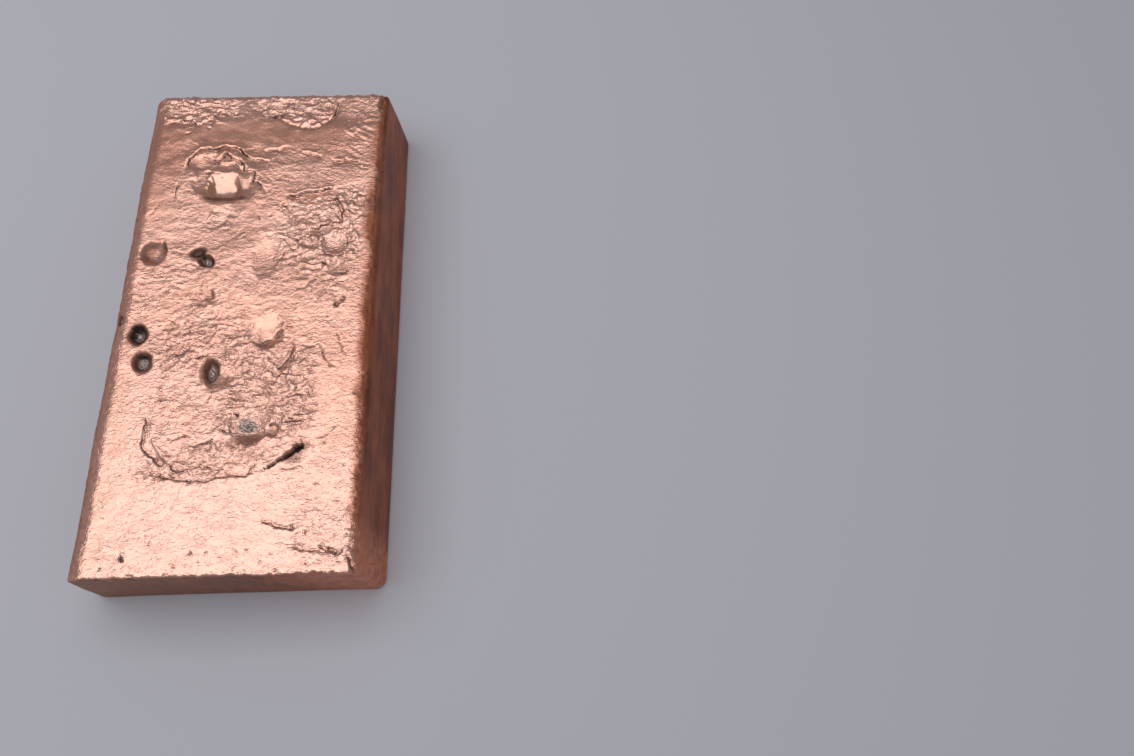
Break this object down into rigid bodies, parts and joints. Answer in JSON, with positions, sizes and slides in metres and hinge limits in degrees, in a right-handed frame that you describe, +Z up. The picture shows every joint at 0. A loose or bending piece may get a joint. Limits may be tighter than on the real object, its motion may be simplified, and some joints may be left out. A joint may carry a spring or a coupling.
{
  "type": "copper ingot",
  "caption": "Small cast copper ingot: a flat-bottomed block with leaning long sides, rolled top edges and a rough open-cast top with blowholes, laps and a shrinkage hollow.",
  "frame": {"origin": "middle of the flat face it rests on", "axes": "+Y along the ingot to its far end, the end with the shrinkage hollow; +X across it; +Z up, out of the rough cast face"},
  "size_m": [0.1096, 0.21, 0.0344],
  "materials": {
    "cast_copper": "as-cast copper, bright and rough on top, dull brown on the mould faces"
  },
  "bodies": {
    "root": {"ingot": "cast_copper"}
  },
  "joints": []
}
